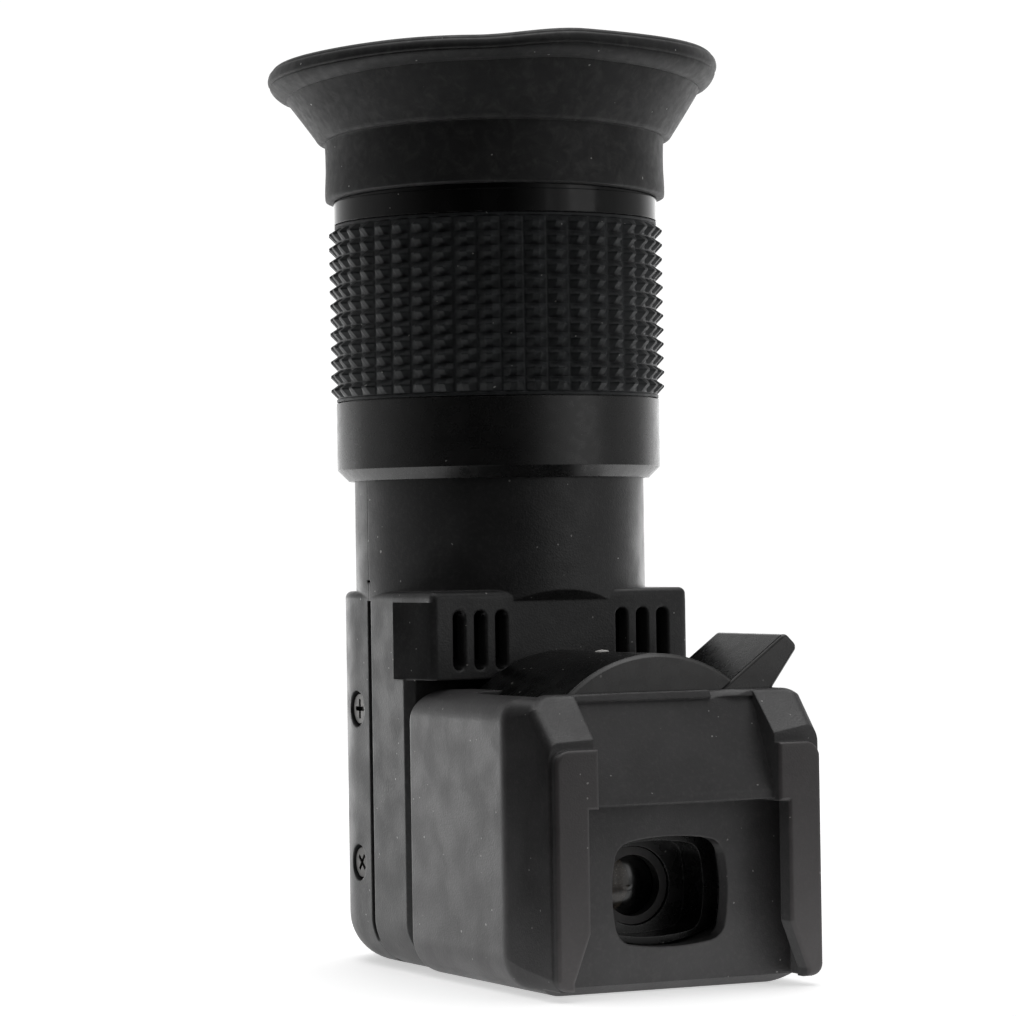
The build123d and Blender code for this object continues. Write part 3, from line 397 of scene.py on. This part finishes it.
def around(radius, angle, z):
    """A point at that radius and angle about the eyepiece axis. Angle 0 is +X, and it turns towards +Y."""
    return (radius * math.cos(angle), TUBE_Y + radius * math.sin(angle), z)


def catmull_rom(a, b, c, d, t):
    """One coordinate of the curve between b and c, at the share t of the way."""
    bend = (2 * a - 5 * b + 4 * c - d) * t * t
    return 0.5 * (2 * b + (c - a) * t + bend + (3 * b - a - 3 * c + d) * t**3)


def smooth_chain(points, steps):
    """Points of a Catmull-Rom curve through the given (radius, z) points; a doubled point is a corner."""
    out = []
    last = len(points) - 1
    for i in range(last):
        before, here = points[max(0, i - 1)], points[i]
        there, after = points[i + 1], points[min(last, i + 2)]
        if here == there:
            continue
        if before == here:
            before = tuple(2 * a - b for a, b in zip(here, there))
        if after == there:
            after = tuple(2 * a - b for a, b in zip(there, here))
        for k in range(steps):
            out.append(tuple(catmull_rom(*four, k / steps) for four in zip(before, here, there, after)))
    out.append(points[-1])
    return out


def lathe(name, profile, segments, material, shift, smooth_angle):
    """Turns a closed (radius, z) profile about the eyepiece axis; shift(radius, z, angle) bends it."""
    vertices, faces = [], []
    count = len(profile)
    for k in range(segments):
        angle = 2 * math.pi * k / segments
        vertices += [around(*shift(radius, z, angle)) for radius, z in profile]
    for k in range(segments):
        a, b = k * count, (k + 1) % segments * count
        for i in range(count):
            j = (i + 1) % count
            faces.append((a + i, b + i, b + j, a + j))
    return make_object(name, vertices, faces, material, smooth_angle)


# ---- eyecup: a soft bell with a rolled bead, a little out of true -------------------------------
# (radius, z) from the foot, up the outside, over the bead and down the inside
CUP = [
    (14.25, 67.10), (14.74, 67.10), (14.74, 67.10), (14.96, 67.20), (15.04, 67.42), (15.05, 68.2),
    (14.98, 69.8), (14.99, 71.2), (15.02, 72.10), (15.02, 72.10), (15.06, 72.26), (15.06, 72.26),
    (15.40, 72.30), (15.66, 72.50), (15.96, 72.95), (16.70, 74.05), (17.55, 75.32), (18.18, 76.28),
    (18.26, 76.42), (18.26, 76.42), (18.42, 76.40), (18.42, 76.40), (18.86, 76.62), (19.28, 77.00),
    (19.58, 77.42), (19.72, 77.74), (19.72, 77.74), (19.70, 77.86), (19.70, 77.86), (19.84, 78.10),
    (19.88, 78.45), (19.78, 78.86), (19.64, 79.06), (19.64, 79.06), (19.55, 79.10), (19.55, 79.10),
    (19.44, 79.32), (19.16, 79.53), (18.84, 79.58), (18.50, 79.46), (18.10, 79.00), (17.60, 78.10),
    (16.60, 76.15), (15.60, 74.60), (14.50, 73.35), (13.30, 72.42), (12.80, 72.10), (12.45, 71.90),
    (12.45, 71.90), (12.42, 70.95), (12.42, 70.95), (14.25, 70.95), (14.25, 70.95), (14.45, 70.30),
    (14.45, 69.50), (14.25, 69.30), (14.25, 69.30), (14.25, 67.10),
]
CUP_STEPS, CUP_SEGMENTS = 4, 288
CUP_CREASE = 35  # degrees

CUP_FRONT = math.radians(244)  # where the cup has crept up on its ring
CUP_RISE = [(67.0, 0.42), (72.3, 0.62), (76.5, 1.30), (78.2, 0.65), (79.6, 0.30)]  # (z, rise)
SOFT_FROM_Z, SOFT_HEIGHT = 72.2, 6.0  # the bell above its collar is soft enough to warp
RIM_RIGHT, RIM_LEFT = 0.45, -0.50  # how far the rim stands off its true height on each side
SWELL_LIMIT = 0.1


def cup_rise(z):
    """How far the cup has crept up at its front, by height."""
    for (low, first), (high, second) in zip(CUP_RISE, CUP_RISE[1:]):
        if z <= high:
            return first + (second - first) * max(0.0, (z - low) / (high - low))
    return CUP_RISE[-1][1]


def clamped(value):
    return max(0.0, min(1.0, value))


def cup_shift(radius, z, angle):
    """The cup's own warp: a wavy rim, a wider and a narrower stretch, and one side that sags."""
    lift = clamped((z - SOFT_FROM_Z) / SOFT_HEIGHT) ** 1.6
    wave = 0.12 * math.sin(2 * angle + 0.4) + 0.08 * math.sin(3 * angle + 1.9) + 0.05 * math.sin(5 * angle)
    swell = 0.12 * math.sin(2 * angle + 1.2) + 0.07 * math.sin(3 * angle)
    front = max(0.0, math.cos(angle - CUP_FRONT)) ** 1.2
    sideways = clamped((math.cos(angle + VIEW_AZIMUTH) + 0.08) / 0.5)
    sag = (RIM_RIGHT - RIM_LEFT) * sideways * sideways * (3 - 2 * sideways) + RIM_LEFT
    return radius + lift * min(swell, SWELL_LIMIT), angle, z + lift * (wave + sag) + front * cup_rise(z)


cup_outline = smooth_chain(CUP, CUP_STEPS)[:-1]
eyecup = lathe("eyecup_soft", cup_outline, CUP_SEGMENTS, materials["eyecup_rubber"], cup_shift, CUP_CREASE)
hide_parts("eyecup")
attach(eyecup, "dioptre_ring")


# ---- grip: rows of pyramids on a thin sleeve ----------------------------------------------------
GRIP_LOW, GRIP_HIGH = 49.40, 65.05
GRIP_ROWS, GRIP_COLUMNS = 12, 44
GRIP_BORE, GRIP_FLOOR, GRIP_TIP = 13.95, 14.16, 14.80
TIP_SPREAD = 0.05  # worn tips are up to this much lower
FOOT_CORNER, FOOT_SIDE = 0.03, 0.05  # how far a pyramid's foot stands above the grooves
BAND = 0.32  # plain band at each end of the grip
BAND_PROUD, EDGE_PROUD = 0.10, 0.04
BAND_CORNER, BAND_SLOPE = 0.05, 0.06
GRIP_CREASE = 12  # degrees

# Lines across a cell: groove edge, foot, apex low, apex high, foot, as shares of the cell.
CELL_ACROSS = (0.0, 0.07, 0.36, 0.64, 0.93)
CELL_UP = (0.0, 0.06, 0.54, 0.64, 0.94)
GROOVE_LINE, APEX_LINES = 0, (2, 3)


def grip_radius(u, v, tips):
    """The grip's radius where line u across crosses line v up."""
    column, line_u = divmod(u, len(CELL_ACROSS))
    row, line_v = divmod(v, len(CELL_UP))
    apexes = (line_u in APEX_LINES) + (line_v in APEX_LINES)
    if GROOVE_LINE in (line_u, line_v):
        return GRIP_FLOOR
    if apexes == 2:
        return tips[column, row]
    return GRIP_FLOOR + (FOOT_SIDE if apexes else FOOT_CORNER)


def build_grip():
    rng = random.Random(SEED)
    pitch = 2 * math.pi / GRIP_COLUMNS
    rise = (GRIP_HIGH - GRIP_LOW - 2 * BAND) / GRIP_ROWS
    tips = {}
    for c in range(GRIP_COLUMNS):
        for r in range(GRIP_ROWS):
            tips[c, r] = GRIP_TIP - rng.uniform(0.0, TIP_SPREAD)
    across = [(c + share) * pitch for c in range(GRIP_COLUMNS) for share in CELL_ACROSS]
    up = [GRIP_LOW + BAND + (r + share) * rise for r in range(GRIP_ROWS) for share in CELL_UP]
    up.append(GRIP_HIGH - BAND)
    vertices, faces = [], []

    def loop(radii, z):
        """A closed loop of points at height z, as indices."""
        first = len(vertices)
        vertices.extend(around(radius, angle, z) for radius, angle in zip(radii, across))
        return range(first, len(vertices))

    def plain(radius, z):
        return loop([radius] * len(across), z)

    grid = [loop([grip_radius(u, v, tips) for u in range(len(across))], z) for v, z in enumerate(up)]
    band, edge = GRIP_FLOOR + BAND_PROUD, GRIP_FLOOR + EDGE_PROUD
    bore_low = plain(GRIP_BORE, GRIP_LOW)
    below = [bore_low, plain(edge, GRIP_LOW), plain(band, GRIP_LOW + BAND_CORNER)]
    below.append(plain(band, GRIP_LOW + BAND - BAND_SLOPE))
    above = [plain(band, GRIP_HIGH - BAND + BAND_SLOPE), plain(band, GRIP_HIGH - BAND_CORNER)]
    above += [plain(edge, GRIP_HIGH), plain(GRIP_BORE, GRIP_HIGH), bore_low]
    loops = below + grid + above
    for a, b in zip(loops, loops[1:]):
        for u in range(len(across)):
            w = (u + 1) % len(across)
            faces.append((a[u], a[w], b[w], b[u]))
    return make_object("grip_knurl", vertices, faces, materials["grip_rubber"], GRIP_CREASE)


grip = build_grip()
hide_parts("rubber_grip")
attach(grip, "dioptre_ring")


# ---- the click ball's coil spring, from its free end to its fixed end ---------------------------
SPRING_X, SPRING_Z = -9.481, 19.525
SPRING_FIXED_Y, SPRING_FREE_Y = -1.45, -3.70
SPRING_RADIUS, WIRE_RADIUS, SPRING_TURNS = 0.60, 0.09, 5
STEPS_PER_TURN, WIRE_SIDES, WIRE_CREASE = 28, 8, 60


def build_spring():
    steps, sides = STEPS_PER_TURN * SPRING_TURNS, WIRE_SIDES
    vertices, faces = [], []
    first, last = SPRING_FREE_Y + WIRE_RADIUS, SPRING_FIXED_Y - WIRE_RADIUS
    for k in range(steps + 1):
        angle = 2 * math.pi * SPRING_TURNS * k / steps
        centre_y = first + (last - first) * k / steps
        for i in range(sides):
            spin = 2 * math.pi * i / sides
            reach = SPRING_RADIUS + WIRE_RADIUS * math.cos(spin)
            y = centre_y + WIRE_RADIUS * math.sin(spin)
            vertices.append((SPRING_X + reach * math.cos(angle), y, SPRING_Z + reach * math.sin(angle)))
    for k in range(steps):
        for i in range(sides):
            j = (i + 1) % sides
            faces.append((k * sides + i, k * sides + j, (k + 1) * sides + j, (k + 1) * sides + i))
    faces.append(tuple(range(sides))[::-1])
    faces.append(tuple(steps * sides + i for i in range(sides)))
    return make_object("click_spring", vertices, faces, materials["spring_steel"], WIRE_CREASE)


click_spring = build_spring()
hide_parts("detent_spring")
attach(click_spring, "housing")
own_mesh(click_spring)


# ---- index mark: a small painted bead on top of the turret drum ---------------------------------
TURRET_Z, DRUM_RADIUS = 15.5, 12.0
BEAD_Y, BEAD_HALF_X, BEAD_HALF_Y, BEAD_PROUD = -12.0, 0.68, 0.45, 0.16
BEAD_SUNK, BEAD_ROOT = 0.02, 0.1  # how deep its rim and its hidden point lie in the drum
BEAD_COLUMNS, BEAD_ROWS, BEAD_CREASE = 24, 5, 50


def build_index():
    columns, rows = BEAD_COLUMNS, BEAD_ROWS
    vertices = [(0, BEAD_Y, TURRET_Z + DRUM_RADIUS + BEAD_PROUD)]
    for r in range(1, rows + 1):
        reach = r / rows
        for c in range(columns):
            angle = 2 * math.pi * c / columns
            x = BEAD_HALF_X * reach * math.cos(angle)
            y = BEAD_Y + BEAD_HALF_Y * reach * math.sin(angle)
            skin = TURRET_Z + math.sqrt(DRUM_RADIUS**2 - x * x)
            vertices.append((x, y, skin + BEAD_PROUD * math.sqrt(1 - reach**2) - BEAD_SUNK))
    vertices.append((0, BEAD_Y, TURRET_Z + DRUM_RADIUS - BEAD_ROOT))
    faces = [(0, 1 + c, 1 + (c + 1) % columns) for c in range(columns)]
    for r in range(rows - 1):
        low, high = 1 + r * columns, 1 + (r + 1) * columns
        for c in range(columns):
            d = (c + 1) % columns
            faces.append((low + c, high + c, high + d, low + d))
    rim = 1 + (rows - 1) * columns
    faces += [(len(vertices) - 1, rim + (c + 1) % columns, rim + c) for c in range(columns)]
    return make_object("index_mark", vertices, faces, materials["index_paint"], BEAD_CREASE)


index_mark = build_index()
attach(index_mark, "turret")


# ---- floor, light and camera --------------------------------------------------------------------
# metres from here on
CENTRE = Vector((0, TUBE_Y * MM, 0.040))
FLOOR_RADIUS, FLOOR_BACK, FLOOR_SIDES = 0.20, 0.150, 96
FLOOR_GLOW = 0.52  # the paper glows a little, as on a light table


def build_floor():
    """A round sheet of white paper that reaches a little in front of the object and well behind it."""
    x = FLOOR_BACK * math.sin(VIEW_AZIMUTH)
    y = TUBE_Y * MM + FLOOR_BACK * math.cos(VIEW_AZIMUTH)
    turns = [2 * math.pi * k / FLOOR_SIDES for k in range(FLOOR_SIDES)]
    rim = [(x + FLOOR_RADIUS * math.cos(a), y + FLOOR_RADIUS * math.sin(a), 0) for a in turns]
    mesh = bpy.data.meshes.new("floor")
    mesh.from_pydata(rim, [], [tuple(range(FLOOR_SIDES))])
    obj = bpy.data.objects.new("floor", mesh)
    bpy.context.scene.collection.objects.link(obj)
    glow = {"Emission_Color": WHITE, "Emission_Strength": FLOOR_GLOW}
    s = Surface("floor_paper", Roughness=0.9, Specular_IOR_Level=0.1, **glow)
    s.link(s.mix(s.noise(40.0, 2.0), (0.90, 0.90, 0.90), (0.92, 0.92, 0.92)), "Base Color")
    mesh.materials.append(s.material)


# Brightness of the studio at eye level: (degrees from the camera's side towards its right, level).
STUDIO = [
    (-180, 2.4), (-155, 1.10), (-140, 0.78), (-120, 0.54), (-88, 0.44), (-67, 0.22), (-45, 0.05),
    (-20, 0.01), (10, 0.02), (26, 0.16), (35, 0.34), (39, 0.85), (43, 0.46), (52, 0.86), (62, 0.50),
    (90, 0.42), (124, 0.52), (140, 1.1), (155, 1.7), (180, 2.4),
]
BRIGHTEST = 2.4
# How it changes with the rise of a direction, from -1 straight down to 1 straight up.
LOW_SPAN, LOW_LEVEL = (-0.22, -0.03), 0.03
HIGH_SPAN, HIGH_LEVEL = (0.14, 0.50), 0.25
CEILING_SPAN, CEILING = (0.55, 0.95), 0.7
SEEN_WHITE = 1.05  # what the camera sees behind the object


def build_world():
    """White all round to the eye. As a source of light it is a studio, bright behind and dark in front."""
    world = bpy.data.worlds.new("studio")
    world.use_nodes = True
    tree = world.node_tree
    tree.nodes.clear()

    def add(kind, inputs, **settings):
        return add_node(tree, kind, inputs, **settings)

    direction = add("ShaderNodeTexCoord", {}).outputs["Generated"]
    to_camera = (-math.sin(VIEW_AZIMUTH), -math.cos(VIEW_AZIMUTH), 0)
    to_right = (math.cos(VIEW_AZIMUTH), -math.sin(VIEW_AZIMUTH), 0)
    along = add("ShaderNodeVectorMath", {0: direction, 1: to_camera}, operation="DOT_PRODUCT")
    across = add("ShaderNodeVectorMath", {0: direction, 1: to_right}, operation="DOT_PRODUCT")
    sides = {0: across.outputs["Value"], 1: along.outputs["Value"]}
    angle = add("ShaderNodeMath", sides, operation="ARCTAN2").outputs[0]
    place = add("ShaderNodeMapRange", {0: angle, 1: -math.pi, 2: math.pi, 3: 0.0, 4: 1.0}).outputs[0]
    ramp = add("ShaderNodeValToRGB", {0: place})
    stops = ramp.color_ramp.elements
    while len(stops) < len(STUDIO):
        stops.new(0.5)
    for stop, (degrees, _) in zip(stops, STUDIO):
        stop.position = (degrees + 180) / 360
    for stop, (_, radiance) in zip(stops, STUDIO):
        level = radiance / BRIGHTEST
        stop.color = (level, level, level, 1)
    height = add("ShaderNodeSeparateXYZ", {0: direction}).outputs[2]

    def fade(span, low, high):
        inputs = {0: height, 1: span[0], 2: span[1], 3: low, 4: high}
        return add("ShaderNodeMapRange", inputs).outputs[0]

    def combine(operation, first, second):
        return add("ShaderNodeMath", {0: first, 1: second}, operation=operation).outputs[0]

    band = combine("MULTIPLY", fade(LOW_SPAN, LOW_LEVEL, 1.0), fade(HIGH_SPAN, 1.0, HIGH_LEVEL))
    ring = combine("MULTIPLY", ramp.outputs[0], band)
    total = combine("ADD", ring, fade(CEILING_SPAN, 0.0, CEILING / BRIGHTEST))
    lighting = add("ShaderNodeBackground", {0: WHITE, 1: combine("MULTIPLY", total, BRIGHTEST)})
    seen = add("ShaderNodeBackground", {0: WHITE, 1: SEEN_WHITE})
    is_seen = add("ShaderNodeLightPath", {}).outputs["Is Camera Ray"]
    choice = add("ShaderNodeMixShader", {0: is_seen, 1: lighting.outputs[0], 2: seen.outputs[0]})
    output = add("ShaderNodeOutputWorld", {})
    tree.links.new(choice.outputs[0], output.inputs[0])
    bpy.context.scene.world = world


def build_light(name, azimuth, elevation, distance, width, height, radiance):
    """A soft panel facing the object. Azimuth 0 is the camera's side, and it grows to the camera's right."""
    data = bpy.data.lights.new(name, "AREA")
    data.shape = "RECTANGLE"
    data.size, data.size_y = width, height
    data.energy = radiance * math.pi * width * height
    obj = bpy.data.objects.new(name, data)
    bpy.context.scene.collection.objects.link(obj)
    turn = math.radians(azimuth) - VIEW_AZIMUTH
    rise = math.radians(elevation)
    away = Vector((math.sin(turn) * math.cos(rise), -math.cos(turn) * math.cos(rise), math.sin(rise)))
    obj.location = CENTRE + away * distance
    obj.rotation_euler = away.to_track_quat("Z", "Y").to_euler()
    obj.visible_camera = False


build_floor()
build_world()
#           name, azimuth, elevation, distance, width, height, radiance
build_light("overhead", 180, 80, 0.9, 0.9, 0.9, 1.25)
build_light("key", 64, 14, 0.80, 0.30, 0.40, 0.8)
build_light("low_left", -138, -4.0, 0.30, 0.24, 0.04, 2.1)
build_light("low_right", 146, -4.0, 0.30, 0.20, 0.04, 1.9)


SENSOR_MM, LENS_MM = 36, 141.73
CAMERA_REACH, CAMERA_HEIGHT = 0.355, 0.0366
CAMERA_YAW, CAMERA_PITCH, CAMERA_ROLL = math.radians(0.1218), math.radians(0.53), math.radians(-0.87)


def build_camera():
    data = bpy.data.cameras.new("camera")
    data.sensor_width = SENSOR_MM
    data.lens = LENS_MM
    data.clip_start, data.clip_end = 0.02, 20
    obj = bpy.data.objects.new("camera", data)
    bpy.context.scene.collection.objects.link(obj)
    bpy.context.scene.camera = obj
    level = Vector((math.sin(VIEW_AZIMUTH), math.cos(VIEW_AZIMUTH), 0))
    right = Vector((math.cos(VIEW_AZIMUTH), -math.sin(VIEW_AZIMUTH), 0))
    forward = level + right * math.tan(CAMERA_YAW) + Vector((0, 0, 1)) * math.tan(CAMERA_PITCH)
    turn = forward.to_track_quat("-Z", "Y").to_matrix().to_4x4() @ Matrix.Rotation(CAMERA_ROLL, 4, "Z")
    place = Vector((0, TUBE_Y * MM, CAMERA_HEIGHT)) - level * CAMERA_REACH
    obj.matrix_world = Matrix.Translation(place) @ turn


build_camera()
bpy.context.scene.view_settings.view_transform = "Standard"
